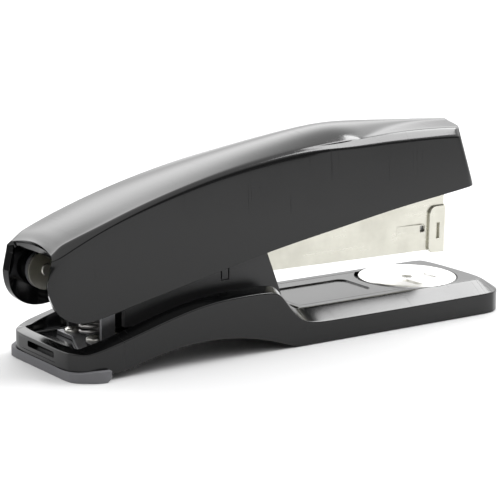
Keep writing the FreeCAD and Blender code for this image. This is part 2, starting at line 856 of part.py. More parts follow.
def staple_rail():
    """Rail that the staples straddle, with a tongue riveted to the channel."""
    body = new_body("staple_rail", at_hinge=True, droop=True)
    end = new_sketch(body, "end", "end", shift=rail_start + 5)
    inside = rail_half - sheet_steel
    outline(end, [
        (-rail_half, channel_floor),
        (-rail_half, rail_top),
        (rail_half, rail_top),
        (rail_half, channel_floor),
        (inside, channel_floor),
        (inside, rail_top - sheet_steel),
        (-inside, rail_top - sheet_steel),
        (-inside, channel_floor),
    ])
    pad(end, slot_back - rail_start - 5)
    tongue = new_sketch(body, "tongue", "top", shift=channel_floor)
    rectangle(tongue, rail_start, -rail_half, rail_start + 6, rail_half)
    pad(tongue, sheet_steel)
    rivets = new_sketch(body, "rivets", "top", shift=channel_floor)
    for x, y in rail_rivet_places():
        circle(rivets, x, y, rivet_radius)
    pocket(rivets, 3 * sheet_steel, both_ways=True)
    return body


def rail_rivets():
    body = new_body("rail_rivets", at_hinge=True, droop=True)
    shanks = new_sketch(body, "shanks", "top", shift=-channel_bottom)
    heads = new_sketch(body, "heads", "top", shift=channel_floor + sheet_steel)
    for x, y in rail_rivet_places():
        circle(shanks, x, y, rivet_radius)
        circle(heads, x, y, rivet_radius * 1.8)
    pad(shanks, 2 * sheet_steel)
    pad(heads, 0.6)
    return body


def staple_strip():
    """A part-used strip of staples, which stops just short of the driver's slot."""
    body = new_body("staple_strip", at_hinge=True, droop=True)
    end = new_sketch(body, "end", "end", shift=strip_back)
    inside = crown_half - staple_wire
    outline(end, [
        (-crown_half, leg_tip),
        (-crown_half, crown_top),
        (crown_half, crown_top),
        (crown_half, leg_tip),
        (inside, leg_tip),
        (inside, crown_top - staple_wire),
        (-inside, crown_top - staple_wire),
        (-inside, leg_tip),
    ])
    pad(end, strip_length)
    return body


def guide_rod():
    body = new_body("guide_rod", at_hinge=True, droop=True)
    end = new_sketch(body, "end", "end", shift=bridge_start - 1.5)
    circle(end, 0, rod_height, rod_radius)
    pad(end, bridge_front + bridge_sheet + 1 - bridge_start)
    return body


def rod_bridges():
    """Two cross plates inside the channel that carry the guide rod."""
    body = new_body("rod_bridges", at_hinge=True, droop=True)
    for name, place in (("rear", bridge_start), ("front", bridge_front - bridge_sheet)):
        end = new_sketch(body, name, "end", shift=place)
        bottom = crown_top + 0.5
        top = rod_height + rod_radius + 1.8
        rectangle(end, -channel_inside, bottom, channel_inside, top)
        circle(end, 0, rod_height, rod_radius)
        pad(end, bridge_sheet)
    return body


def pusher():
    """Follower that straddles the rail and rides on the guide rod."""
    body = new_body("pusher", at_hinge=True, droop=True)
    end = new_sketch(body, "end", "end", shift=pusher_back)
    half = crown_half - 0.05
    inside = rail_half + 0.2
    top = rod_height + rod_radius + 1.6
    outline(end, [
        (-half, leg_tip),
        (-half, crown_top),
        (-half + 2, top),
        (half - 2, top),
        (half, crown_top),
        (half, leg_tip),
        (inside, leg_tip),
        (inside, rail_top + 0.2),
        (-inside, rail_top + 0.2),
        (-inside, leg_tip),
    ])
    circle(end, 0, rod_height, rod_radius + 0.1)
    pad(end, pusher_length)
    return body


def pusher_spring():
    body = new_body("pusher_spring", at_hinge=True, droop=True, up=rod_height)
    start = bridge_start + bridge_sheet + 0.1
    length = pusher_back - 0.1 - start
    coil("pusher_spring", body, start, length, pusher_spring_radius, pusher_wire, 30, "H_Axis")
    return body


def magazine_housing():
    """Plastic trough round the back half of the channel, open underneath."""
    body = new_body("magazine_housing", at_hinge=True, droop=True)
    front = reach - 51
    side = new_sketch(body, "side", "side")
    outline(side, [
        (housing_start, -housing_depth),
        (front, -housing_depth + 1.2),
        (front - 2.5, -5.6, front - 5.4, 1.3),
        (front - 6.1, 4.7),
        (housing_start, 1.6),
    ])
    pad(side, housing_width, both_ways=True)
    seat = new_sketch(body, "seat", "side")
    outline(seat, [
        (housing_start - 2, -channel_bottom),
        (front + 5, -channel_bottom),
        (front + 5, 2 * channel_top),
        (housing_start - 2, 2 * channel_top),
    ])
    pocket(seat, channel_width, both_ways=True)
    hollow = new_sketch(body, "hollow", "side")
    outline(hollow, [
        (housing_start - 2, -2 * housing_depth),
        (front - housing_skin - 1, -2 * housing_depth),
        (front - housing_skin - 1, -housing_depth + 1.2),
        (front - housing_skin - 4, -channel_bottom - housing_skin),
        (housing_start - 2, -channel_bottom - housing_skin),
    ])
    pocket(hollow, housing_width - 2 * housing_skin, both_ways=True)
    return body


def cover_sections():
    """Places along the cover with the height of its side ridge and of its crown there."""
    return [
        (-cover_radius - 1.3, 7.4, 7.6),
        (13.3, 16.4, 16.9),
        (38.3, 22.9, 24.0),
        (reach - 50, 26.8, 29.4),
        (reach - 30, 28.7, 32.2),
        (reach - 10, 29.4, 31.2),
        (reach + 16, 28.9, 30.0),
    ]


def cover_loft(body, kind, name, wall, roof, floor, places):
    """Loft through the cover's cross-sections, drawn inwards by the wall and the roof."""
    half = cover_half - wall
    sections = []
    for number, (x, (_, ridge, crown)) in enumerate(zip(places, cover_sections())):
        sketch = new_sketch(body, f"{name}_{number}", "end", shift=x)
        outline(sketch, [
            (-half, floor),
            (-half, ridge - roof),
            (0, crown - roof, half, ridge - roof),
            (half, floor),
        ])
        sections.append(sketch)
    loft = body.newObject(f"PartDesign::{kind}", f"{body.Label}_{name}")
    loft.Profile = sections[0]
    loft.Sections = sections[1:]
    document.recompute()
    return loft


def cover_shell():
    """Thin moulded cover, open underneath and at the back, round about the hinge."""
    body = new_body("cover_shell", at_hinge=True)
    places = [x for x, _, _ in cover_sections()]
    cover_loft(body, "AdditiveLoft", "outer", 0, 0, -15, places)

    limits = new_sketch(body, "limits", "side")
    far = reach + 30
    outline(limits, [(-60, -60), (far, -60), (far, 80), (-60, 80)])
    belly = (reach - 58, 1.4)
    outline(limits, [
        (cover_radius * 0.22, -cover_radius * 0.9755),
        (-cover_radius * 0.69, -cover_radius * 0.7238, -cover_radius, 0),
        (-cover_radius + 1.3, 9.5),
        (-cover_radius + 1.3, 60),
        (reach + 20, 60),
        (reach + 20, belly[1] + 0.1667 * 78),
        belly,
    ])
    pocket(limits, 3 * cover_width, both_ways=True)

    lean = -math.degrees(math.atan(NOSE_SLOPE))
    nose = new_sketch(body, "nose", "top", shift=26.9, offset_x=reach + cover_nose, lean=lean)
    reach_out = cover_half + 0.5
    outline(nose, [
        (0, -reach_out),
        (nose_bow, 0, 0, reach_out),
        (30, reach_out),
        (30, -reach_out),
    ])
    pocket(nose, 120, both_ways=True)
    inner_places = [places[0] - 5] + places[1:-1] + [reach + cover_nose - cover_roof]
    cover_loft(body, "SubtractiveLoft", "inner", cover_wall, cover_roof, -20, inner_places)

    hollow = new_sketch(body, "hollow", "side")
    hollow_top = carrier_top + 1
    outline(hollow, [
        (reach - 5, -20),
        (nose_inside_line(-20), -20),
        (nose_inside_line(hollow_top), hollow_top),
        (reach - 5, hollow_top),
    ])
    pocket(hollow, 2 * cover_inside, both_ways=True)

    bosses = new_sketch(body, "bosses", "side")
    circle(bosses, 0, 0, boss_radius)
    pad(bosses, 2 * cover_inside + 0.4, both_ways=True)
    between = new_sketch(body, "between", "side")
    circle(between, 0, 0, boss_radius + 1)
    pocket(between, 2 * boss_inside, both_ways=True)
    sockets = new_sketch(body, "sockets", "side")
    circle(sockets, 0, 0, pin_radius + running_gap)
    pocket(sockets, 2 * (cover_inside + 1.1), both_ways=True)

    for number, (x, crown) in enumerate(carrier_boss_places()):
        post = new_sketch(body, f"post_{number}", "top", shift=carrier_top)
        circle(post, x, 0, 3.2)
        pad(post, crown - cover_roof / 2 - carrier_top)
        thread = new_sketch(body, f"thread_{number}", "top", shift=carrier_top)
        circle(thread, x, 0, screw_radius)
        pocket(thread, 4, flip=True)
    return body


def nose_inside_line(z):
    """Where the inside of the sloping nose stands at a height."""
    return reach + cover_nose - cover_roof - 0.2 + (26.9 - z) * NOSE_SLOPE


def carrier_boss_places():
    """Posts under the crown that the driver carrier is screwed to."""
    sections = cover_sections()
    return [(sections[3][0], sections[3][2]), (sections[5][0], sections[5][2])]


def driver_carrier():
    """Steel plate under the roof of the cover, folded down in front to hold the driver."""
    body = new_body("driver_carrier", at_hinge=True)
    half = carrier_width / 2
    plan = new_sketch(body, "plan", "top", shift=carrier_height)
    rectangle(plan, reach - 56, -half, blade_back, half)
    pad(plan, 1)
    flanges = new_sketch(body, "flanges", "top", shift=carrier_height - 3)
    for side in (-1, 1):
        rectangle(flanges, reach - 56, side * (half - 1), blade_back - 4, side * half)
    pad(flanges, 3.2)
    tab = new_sketch(body, "tab", "top", shift=carrier_height - 8)
    rectangle(tab, blade_back - 1, -blade_width / 2, blade_back, blade_width / 2)
    pad(tab, 8.2)
    holes = new_sketch(body, "holes", "top", shift=carrier_height)
    for x, _ in carrier_boss_places():
        circle(holes, x, 0, screw_radius)
    pocket(holes, 6, both_ways=True)
    rivets = new_sketch(body, "rivets", "end", shift=blade_back)
    for y, z in blade_rivet_places():
        circle(rivets, y, z, rivet_radius)
    pocket(rivets, 4, both_ways=True)
    return body


def blade_rivet_places():
    return [(y, carrier_height - 4.5) for y in (-3.2, 3.2)]


def carrier_screws():
    body = new_body("carrier_screws", at_hinge=True)
    shanks = new_sketch(body, "shanks", "top", shift=carrier_height)
    heads = new_sketch(body, "heads", "top", shift=carrier_height - 1.4)
    for x, _ in carrier_boss_places():
        circle(shanks, x, 0, screw_radius)
        circle(heads, x, 0, screw_head + 0.5)
    pad(shanks, 4.6)
    pad(heads, 1.4)
    return body


def driver_blade():
    """Flat blade that drives one staple out through the slot behind the nose plate."""
    body = new_body("driver_blade", at_hinge=True)
    plan = new_sketch(body, "plan", "top", shift=blade_bottom)
    rectangle(plan, blade_back, -blade_width / 2, blade_front, blade_width / 2)
    pad(plan, carrier_height - blade_bottom)
    rivets = new_sketch(body, "rivets", "end", shift=blade_back)
    for y, z in blade_rivet_places():
        circle(rivets, y, z, rivet_radius)
    pocket(rivets, 4, both_ways=True)
    return body


def blade_rivets():
    body = new_body("blade_rivets", at_hinge=True)
    shanks = new_sketch(body, "shanks", "end", shift=blade_back - 1)
    rear_heads = new_sketch(body, "rear_heads", "end", shift=blade_back - 1.5)
    front_heads = new_sketch(body, "front_heads", "end", shift=blade_front)
    for y, z in blade_rivet_places():
        circle(shanks, y, z, rivet_radius)
        circle(rear_heads, y, z, rivet_radius * 1.8)
        circle(front_heads, y, z, rivet_radius * 1.8)
    pad(shanks, 1 + blade_sheet)
    pad(rear_heads, 0.5)
    pad(front_heads, 0.45)
    return body


def lift_leaf():
    """Leaf spring from the carrier down to the top edges of the channel."""
    body = new_body("lift_leaf", at_hinge=True)
    side = new_sketch(body, "side", "side")
    root = reach - 22
    tip = reach - 56
    tip_height = channel_top - 0.3
    outline(side, [
        (root, carrier_height - leaf_sheet),
        (root, carrier_height),
        (root - 8, carrier_height),
        (tip + 9, tip_height + 4.4, tip, tip_height + leaf_sheet),
        (tip, tip_height),
        (tip + 9.2, tip_height + 3.9, root - 8, carrier_height - leaf_sheet),
    ])
    pad(side, leaf_width, both_ways=True)
    return body


PIECES = [
    base_shell, deck_panel, rear_foot, front_foot, anvil_disc, anvil_stud, anvil_spring,
    hinge_bracket, bracket_screws, hinge_studs, return_spring,
    magazine_channel, nose_plate, staple_rail, rail_rivets, staple_strip,
    guide_rod, rod_bridges, pusher, pusher_spring, magazine_housing,
    cover_shell, driver_carrier, carrier_screws, driver_blade, blade_rivets, lift_leaf,
]


def check(nodes):
    """Stop if any object failed or any piece has no sound shape."""
    for item in document.Objects:
        if "Invalid" in item.State or "Error" in item.State:
            raise RuntimeError(f"{item.Name} failed: {item.State}")
    for node in nodes:
        if node.Shape.isNull() or not node.Shape.isValid() or not node.Shape.Solids:
            raise RuntimeError(f"{node.Label} has no sound solid")


nodes = [make() for make in PIECES]
document.recompute()
check(nodes)
os.makedirs("parts", exist_ok=True)
for node in nodes:
    node.Shape.exportStep(f"parts/{node.Label}.step")
    print(f"{node.Label}: {len(node.Shape.Solids)} solid(s), {node.Shape.Volume:.1f} mm3")
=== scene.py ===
import math

import bmesh
import bpy
from mathutils import Matrix, Vector


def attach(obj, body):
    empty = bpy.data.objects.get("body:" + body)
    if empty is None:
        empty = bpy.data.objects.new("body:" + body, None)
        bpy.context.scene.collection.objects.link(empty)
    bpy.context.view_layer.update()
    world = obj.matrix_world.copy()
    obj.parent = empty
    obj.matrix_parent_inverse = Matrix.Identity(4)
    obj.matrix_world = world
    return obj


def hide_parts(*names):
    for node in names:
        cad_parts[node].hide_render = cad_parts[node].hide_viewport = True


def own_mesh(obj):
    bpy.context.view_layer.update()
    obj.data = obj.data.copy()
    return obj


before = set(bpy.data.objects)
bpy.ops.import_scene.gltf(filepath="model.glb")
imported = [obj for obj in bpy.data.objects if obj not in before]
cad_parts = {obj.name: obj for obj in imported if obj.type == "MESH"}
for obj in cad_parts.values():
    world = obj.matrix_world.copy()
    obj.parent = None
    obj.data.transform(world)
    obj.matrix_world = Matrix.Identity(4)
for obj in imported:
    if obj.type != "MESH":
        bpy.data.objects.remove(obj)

# The looks of a half-strip desk stapler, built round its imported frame.  Shapes are drawn in
# millimetres from the point of the table under the middle of the anvil, +X towards the nose.

MM = 0.001
HINGE = Vector((-113.3, 0.0, 23.6))
DROOP = math.radians(0.86)
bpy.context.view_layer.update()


# ---------------------------------------------------------------- finishes

class Socket:
    """One output in a finish's recipe.  Sums on it add the nodes that work them out."""

    def __init__(self, recipe, output):
        self.recipe = recipe
        self.output = output

    def maths(self, operation, *values, **settings):
        settings["operation"] = operation
        return self.recipe.node("ShaderNodeMath", settings, dict(enumerate(values)))

    def __add__(self, other):
        return self.maths("ADD", self, other)

    __radd__ = __add__

    def __sub__(self, other):
        return self.maths("SUBTRACT", self, other)

    def __rsub__(self, other):
        return self.maths("SUBTRACT", other, self)

    def __mul__(self, other):
        return self.maths("MULTIPLY", self, other)

    __rmul__ = __mul__

    def __pow__(self, other):
        return self.maths("POWER", self, other)

    def between(self, low, high):
        """0 below low, 1 above high, and smooth in between.  low may be above high."""
        ranged = {"interpolation_type": "SMOOTHSTEP"}
        if low < high:
            return self.recipe.node("ShaderNodeMapRange", ranged, {0: self, 1: low, 2: high})
        return 1 - self.between(high, low)


class Recipe:
    """The node tree of one finish."""

    def __init__(self, tree):
        self.tree = tree
        tree.nodes.clear()

    def node(self, kind, settings=None, sockets=None, output=0):
        node = self.tree.nodes.new(kind)
        for name, value in (settings or {}).items():
            setattr(node, name, value)
        for name, value in (sockets or {}).items():
            if isinstance(value, Socket):
                self.tree.links.new(value.output, node.inputs[name])
            else:
                node.inputs[name].default_value = value
        return Socket(self, node.outputs[output])

    def place(self, scale=(1, 1, 1), turn=(0, 0, 0)):
        """Object coordinates, drawn out or turned."""
        here = self.node("ShaderNodeTexCoord", output=3)
        if scale == (1, 1, 1) and turn == (0, 0, 0):
            return here
        return self.node("ShaderNodeMapping", None, {0: here, 2: turn, 3: scale})

    def cloud(self, place, scale, detail=3, rough=0.5):
        """Even noise from 0 to 1."""
        sockets = {"Vector": place, "Scale": scale, "Detail": detail, "Roughness": rough}
        return self.node("ShaderNodeTexNoise", None, sockets)

    def split(self, vector):
        """The X, Y and Z of a vector."""
        parts = self.node("ShaderNodeSeparateXYZ", None, {0: vector}).output.node.outputs
        return [Socket(self, part) for part in parts]

    def blend(self, amount, low, high):
        """A colour between two, the lower of which may be an output itself."""
        settings = {"data_type": "RGBA"}
        sockets = {0: amount, 6: low if isinstance(low, Socket) else (*low, 1), 7: (*high, 1)}
        return self.node("ShaderNodeMix", settings, sockets, output=2)

    def bump(self, height, depth):
        """Surface relief, its full depth in millimetres."""
        sockets = {"Strength": 1.0, "Distance": depth * MM, "Height": height}
        return self.node("ShaderNodeBump", None, sockets)


def finish(name, write):
    """A material whose surface is written by a function of its recipe."""
    material = bpy.data.materials.new(name)
    material.use_nodes = True
    recipe = Recipe(material.node_tree)
    shader = recipe.node("ShaderNodeBsdfPrincipled", None, write(recipe))
    output = recipe.tree.nodes.new("ShaderNodeOutputMaterial")
    recipe.tree.links.new(shader.output, output.inputs["Surface"])
    return material


def hairlines(recipe, turn, scale, level):
    """A few fine handling scratches that run one way."""
    drawn = recipe.cloud(recipe.place((scale, scale * 0.03, scale * 0.03), turn), 1.0, 2)
    patches = recipe.cloud(recipe.place(), 45.0, 2)
    return drawn.between(level, level + 0.05) * patches.between(0.5, 0.62)


def polished_black(roughness, relief):
    def write(recipe):
        here = recipe.place()
        smudge = recipe.cloud(here, 38.0, 4, 0.6)
        peel = recipe.cloud(here, 420.0, 2)
        dust = recipe.cloud(here, 2600.0, 1).between(0.76, 0.8)
        marks = hairlines(recipe, (0.3, 0.2, 0.7), 1500.0, 0.66)
        marks = marks + hairlines(recipe, (0.1, 0.9, 2.1), 1300.0, 0.67)
        rough = roughness + smudge.between(0.4, 0.75) * 0.05 + marks * 0.14 + dust * 0.2
        return {
            "Base Color": recipe.blend(dust * 0.5 + smudge * 0.25, (0.0014, 0.0015, 0.0016),
                                       (0.0075, 0.0075, 0.0077)),
            "Roughness": rough,
            "IOR": 1.45,
            "Normal": recipe.bump(peel - marks * 0.35, relief),
        }
    return write


def moulded_black(recipe):
    here = recipe.place()
    grain = recipe.cloud(here, 2200.0, 3, 0.6)
    rub = recipe.cloud(here, 60.0, 3)
    return {
        "Base Color": recipe.blend(rub, (0.008, 0.008, 0.0085), (0.017, 0.017, 0.0175)),
        "Roughness": 0.28 + rub * 0.14,
        "Normal": recipe.bump(grain, 0.012),
    }


def foot_rubber(recipe):
    here = recipe.place()
    grain = recipe.cloud(here, 3200.0, 3, 0.65)
    bloom = recipe.cloud(here, 70.0, 4, 0.6)
    specks = recipe.cloud(here, 1500.0, 1).between(0.68, 0.78)
    tone = recipe.blend(bloom, (0.105, 0.105, 0.112), (0.15, 0.15, 0.158))
    return {
        "Base Color": recipe.blend(specks * 0.4, tone, (0.24, 0.24, 0.25)),
        "Roughness": 0.62 + grain * 0.15,
        "Normal": recipe.bump(grain, 0.02),
    }


def rolled_steel(colour, shade, roughness, grain_scale):
    """Sheet steel with the fine lines of its rolling, thin stains and a few scratches."""
    def write(recipe):
        here = recipe.place()
        lines = recipe.cloud(recipe.place((0.03, 1, 1)), grain_scale, 3, 0.6)
        stain = recipe.cloud(here, 95.0, 4, 0.62)
        marks = hairlines(recipe, (0.4, 0.5, 0.3), 1800.0, 0.72)
        return {
            "Base Color": recipe.blend(stain.between(0.35, 0.8) * 0.8 + lines * 0.2, colour, shade),
            "Metallic": 1.0,
            "Roughness": roughness + lines * 0.10 + stain * 0.08 + marks * 0.05,
            "Normal": recipe.bump(lines * 0.6 - marks * 0.15, 0.002),
        }
    return write


def tumbled_steel(recipe):
    """The anvil's bright plating: rings of polishing and small dings."""
    here = recipe.place()
    x, y, _ = recipe.split(here)
    radius = (x * x + y * y) ** 0.5
    rings = recipe.node("ShaderNodeTexNoise", {"noise_dimensions": "1D"},
                        {"W": radius, "Scale": 2600.0, "Detail": 3.0})
    haze = recipe.cloud(here, 120.0, 4, 0.6)
    dings = recipe.cloud(here, 900.0, 1).between(0.7, 0.78)
    return {
        "Base Color": recipe.blend(haze.between(0.3, 0.8), (0.74, 0.735, 0.725), (0.62, 0.615, 0.60)),
        "Metallic": 1.0,
        "Roughness": 0.24 + rings * 0.12 + haze * 0.1,
        "Normal": recipe.bump(rings * 0.5 - dings, 0.003),
    }


def drawn_wire(colour):
    """Wire with lengthwise die marks and a little oil."""
    def write(recipe):
        here = recipe.place()
        oil = recipe.cloud(here, 260.0, 3)
        die = recipe.cloud(here, 4200.0, 2)
        return {
            "Base Color": recipe.blend(oil, colour, tuple(c * 0.62 for c in colour)),
            "Metallic": 1.0,
            "Roughness": 0.22 + oil * 0.16 + die * 0.06,
            "Normal": recipe.bump(die, 0.003),
        }
    return write


WRITTEN = {
    "cover black": polished_black(0.105, 0.0035),
    "base black": polished_black(0.15, 0.0045),
    "panel black": polished_black(0.17, 0.005),
    "housing black": moulded_black,
    "foot rubber": foot_rubber,
    "anvil plating": tumbled_steel,
    "nickel sheet": rolled_steel((0.66, 0.65, 0.575), (0.54, 0.53, 0.465), 0.2, 900.0),
    "zinc sheet": rolled_steel((0.62, 0.62, 0.63), (0.42, 0.42, 0.44), 0.28, 700.0),
    "dull zinc": rolled_steel((0.3, 0.3, 0.31), (0.17, 0.17, 0.18), 0.36, 700.0),
    "blade steel": rolled_steel((0.5, 0.49, 0.47), (0.33, 0.32, 0.31), 0.3, 1200.0),
    "spring steel": drawn_wire((0.55, 0.54, 0.53)),
    "zinc screw": drawn_wire((0.68, 0.67, 0.63)),
    "staple wire": drawn_wire((0.74, 0.74, 0.75)),
}
FINISHES = {name: finish(name, write) for name, write in WRITTEN.items()}

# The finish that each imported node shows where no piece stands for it
CARRIED = {
    "cover black": ["cover_shell"],
    "base black": ["base_shell"],
    "panel black": ["deck_panel"],
    "housing black": ["magazine_housing", "pusher"],
    "foot rubber": ["rear_foot", "front_foot"],
    "anvil plating": ["anvil_disc", "anvil_stud"],
    "nickel sheet": ["magazine_channel", "nose_plate"],
    "dull zinc": ["hinge_bracket"],
    "zinc sheet": ["staple_rail", "guide_rod", "rod_bridges", "driver_carrier"],
    "blade steel": ["driver_blade"],
    "spring steel": ["anvil_spring", "return_spring", "pusher_spring", "lift_leaf"],
    "zinc screw": ["bracket_screws", "hinge_studs", "rail_rivets", "carrier_screws", "blade_rivets"],
    "staple wire": ["staple_strip"],
}
for look, names in CARRIED.items():
    for name in names:
        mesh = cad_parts[name].data
        mesh.materials.clear()
        mesh.materials.append(FINISHES[look])


# ---------------------------------------------------------------- bench tools

ORIGIN = (0, 0, 0)


def line_through(places):
    """A smooth line through (along, value) places, held level past its ends."""
    def value(at):
        if at <= places[0][0]:
            return places[0][1]
        if at >= places[-1][0]:
            return places[-1][1]
        n = next(i for i in range(1, len(places)) if at <= places[i][0])
        (x0, y0), (x1, y1) = places[n - 1], places[n]
        slope = (y1 - y0) / (x1 - x0)
        starts = slope
        ends = slope
        if n > 1:
            starts = (y1 - places[n - 2][1]) / (x1 - places[n - 2][0])
        if n < len(places) - 1:
            ends = (places[n + 1][1] - y0) / (places[n + 1][0] - x0)
        span = x1 - x0
        t = (at - x0) / span
        keep = (1 + 2 * t) * (1 - t) ** 2 * y0 + t * t * (3 - 2 * t) * y1
        return keep + span * (t * (1 - t) ** 2 * starts - t * t * (1 - t) * ends)
    return value


def ease(at, low, high):
    t = min(max((at - low) / (high - low), 0.0), 1.0)
    return t * t * (3 - 2 * t)


def draw_line(form, places, closed=False):
    corners = [form.verts.new(place) for place in places]
    pairs = list(zip(corners, corners[1:] + corners[:1]))
    return [form.edges.new(pair) for pair in (pairs if closed else pairs[:-1])]


def skin_over(form, lines, closed=False):
    """Skin over a row of lines, each with as many points as the next."""
    drawn = [draw_line(form, line, closed) for line in lines]
    for first, second in zip(drawn, drawn[1:]):
        bmesh.ops.bridge_loops(form, edges=first + second)


def face_out(form, probe):
    """Turn the whole skin so that its face nearest the probe faces it."""
    bmesh.ops.remove_doubles(form, verts=form.verts, dist=1e-4)
    bmesh.ops.recalc_face_normals(form, faces=form.faces)
    probe = Vector(probe)
    nearest = min(form.faces, key=lambda face: (face.calc_center_median() - probe).length)
    if nearest.normal.dot(probe - nearest.calc_center_median()) < 0:
        bmesh.ops.reverse_faces(form, faces=form.faces)


def hang(form):
    """Set a shape drawn from the hinge axis in its place, drooping as the magazine does."""
    turn = Matrix.Rotation(DROOP, 4, "Y")
    bmesh.ops.transform(form, matrix=Matrix.Translation(HINGE) @ turn, verts=form.verts)


def into_object(name, form, sharp=32):
    """A finished mesh object, its millimetres made metres."""
    bmesh.ops.scale(form, vec=(MM, MM, MM), verts=form.verts)
    mesh = bpy.data.meshes.new(name)
    form.to_mesh(mesh)
    form.free()
    mesh.polygons.foreach_set("use_smooth", [True] * len(mesh.polygons))
    mesh.set_sharp_from_angle(angle=math.radians(sharp))
    piece = bpy.data.objects.new(name, mesh)
    bpy.context.scene.collection.objects.link(piece)
    return piece


def join_up(piece, body, look, slot, *nodes):
    """Give a piece its finish, the body that it rides on and the nodes that it stands for."""
    piece.data.materials.clear()
    piece.data.materials.append(FINISHES[look])
    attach(piece, body)
    if nodes:
        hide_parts(*nodes)


def smooth_out(piece):
    rounder = piece.modifiers.new("smooth", "SUBSURF")
    rounder.levels = 2
    rounder.render_levels = 2


def thicken(piece, wall):
    shell = piece.modifiers.new("wall", "SOLIDIFY")
    shell.thickness = wall * MM
    shell.offset = -1.0
    shell.use_even_offset = True


def break_edges(piece, width, angle=35, segments=2):
    """Take the sharpness off the edges, as moulding and tumbling do."""
    bevel = piece.modifiers.new("edges", "BEVEL")
    bevel.width = width * MM
    bevel.segments = segments
    bevel.limit_method = "ANGLE"
    bevel.angle_limit = math.radians(angle)
    bevel.use_clamp_overlap = True
    weighted = piece.modifiers.new("shading", "WEIGHTED_NORMAL")
    weighted.keep_sharp = True


def settle(piece, sharp=32):
    """Make what the modifiers show the piece's own mesh."""
    graph = bpy.context.evaluated_depsgraph_get()
    made = bpy.data.meshes.new_from_object(piece.evaluated_get(graph))
    piece.modifiers.clear()
    piece.data = made
    made.polygons.foreach_set("use_smooth", [True] * len(made.polygons))
    made.set_sharp_from_angle(angle=math.radians(sharp))


def cut_away(piece, cutters, sharp=32):
    """Cut shapes out of a piece."""
    for cutter in cutters:
        cut = piece.modifiers.new("cut", "BOOLEAN")
        cut.operation = "DIFFERENCE"
        cut.solver = "EXACT"
        cut.object = cutter
    settle(piece, sharp)
    for cutter in cutters:
        bpy.data.objects.remove(cutter)


def slab(low, high, radius=0.0, axis="Z"):
    """A block between two corners, its four edges along one axis rounded."""
    form = bmesh.new()
    bmesh.ops.create_cube(form, size=1.0)
    size = Vector(high) - Vector(low)
    bmesh.ops.scale(form, vec=size, verts=form.verts)
    bmesh.ops.translate(form, vec=(Vector(low) + Vector(high)) / 2, verts=form.verts)
    if radius:
        k = "XYZ".index(axis)
        edges = [e for e in form.edges if abs((e.verts[0].co - e.verts[1].co)[k]) > 1e-6]
        bmesh.ops.bevel(form, geom=edges, offset=radius, segments=6, profile=0.5,
                        affect="EDGES", material=-1)
    return form


def turned(profile, centre, axis="Z", steps=64):
    """A shape spun from a profile of (radius, height) places, open or closed on its axis."""
    form = bmesh.new()
    places = [(radius, 0.0, height) for radius, height in profile]
    edges = draw_line(form, places)
    bmesh.ops.spin(form, geom=edges + list(form.verts), cent=(0, 0, 0), axis=(0, 0, 1),
                   angle=math.tau, steps=steps, use_merge=True)
    bmesh.ops.remove_doubles(form, verts=form.verts, dist=1e-4)
    bmesh.ops.recalc_face_normals(form, faces=form.faces)
    if axis == "Y":
        bmesh.ops.rotate(form, matrix=Matrix.Rotation(math.pi / 2, 3, "X"), verts=form.verts)
    bmesh.ops.translate(form, vec=Vector(centre), verts=form.verts)
    return form


def copy_of(node):
    """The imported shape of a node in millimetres, its triangles merged into faces."""
    form = bmesh.new()
    form.from_mesh(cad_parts[node].data)
    bmesh.ops.scale(form, vec=(1 / MM, 1 / MM, 1 / MM), verts=form.verts)
    bmesh.ops.remove_doubles(form, verts=form.verts, dist=1e-3)
    bmesh.ops.dissolve_limit(form, angle_limit=math.radians(0.6), verts=form.verts,
                             edges=form.edges, use_dissolve_boundaries=False)
    return form


def gather(form, other):
    """Add one shape to another."""
    mesh = bpy.data.meshes.new("gathered")
    other.to_mesh(mesh)
    other.free()
    form.from_mesh(mesh)
    bpy.data.meshes.remove(mesh)


# ---------------------------------------------------------------- cover

# Lines along the cover: the edge of its lid, the top of its dome, its straight lower edge, the
# dome's half width and its height above the edge, and the width and drop of the band round it
lid_edge = line_through([(-122.1, 32.7), (-119.5, 33.5), (-110, 36.8), (-100, 40.2), (-90, 43.1),
                         (-80, 45.6), (-70, 47.7), (-60, 49.3), (-50, 50.5), (-40, 51.2),
                         (-32, 51.5), (-25, 52.0), (-17, 52.6), (-6, 52.8), (3, 52.6), (7.7, 52.3)])
crown = line_through([(-120.6, 34.1), (-115, 36.0), (-108, 38.4), (-100, 41.0), (-90, 44.1),
                      (-80, 46.8), (-70, 49.2), (-60, 51.3), (-50, 53.1), (-40, 54.7),
                      (-32, 55.6), (-26, 55.7), (-20, 55.4), (-12, 54.8), (-4, 54.2), (4, 53.7),
                      (12.2, 53.0)])
belly = line_through([(-113.3, 13.4), (-111.1, 13.6), (-100, 16.0), (-80, 20.3), (-58, 25.0),
                      (-30, 29.7), (0, 34.7), (17, 37.5)])
dome_half = line_through([(-122, 9.3), (-110, 9.9), (-30, 9.9), (-26.5, 9.5), (-20.5, 7.1),
                          (-15.4, 5.1), (-10.6, 3.5), (-6.2, 2.5), (-2, 1.9), (2, 1.6), (8, 1.4)])
dome_foot = line_through([(-122, 0.1), (-90, 0.15), (-60, 0.3), (-45, 0.55), (-36, 0.62),
                          (-30, 0.5), (-26, 0.35), (-20.5, 0.45), (-15, 0.6), (-10, 0.7),
                          (-4, 0.78), (8, 0.7)])
band_width = line_through([(-122, 2.0), (-116, 1.4), (-106, 0.8), (-45, 0.8), (-37, 0.9),
                           (-30, 1.15), (-22, 1.5), (-12, 1.75), (8, 1.75)])
band_drop = line_through([(-122, 2.4), (-116, 1.6), (-106, 0.9), (-45, 0.8), (-37, 0.9),
                          (-30, 1.4), (-22, 1.9), (-12, 2.25), (8, 2.3)])
COVER_HALF = 12.5
COVER_WALL = 1.9
SIDE_LINE = 34.0                 # the sides stand upright below it and lean in above it
SIDE_LEAN = 0.08
HINGE_ROUND = 10.2               # radius of the lower edge round the hinge
NOSE_BOW = 4.5
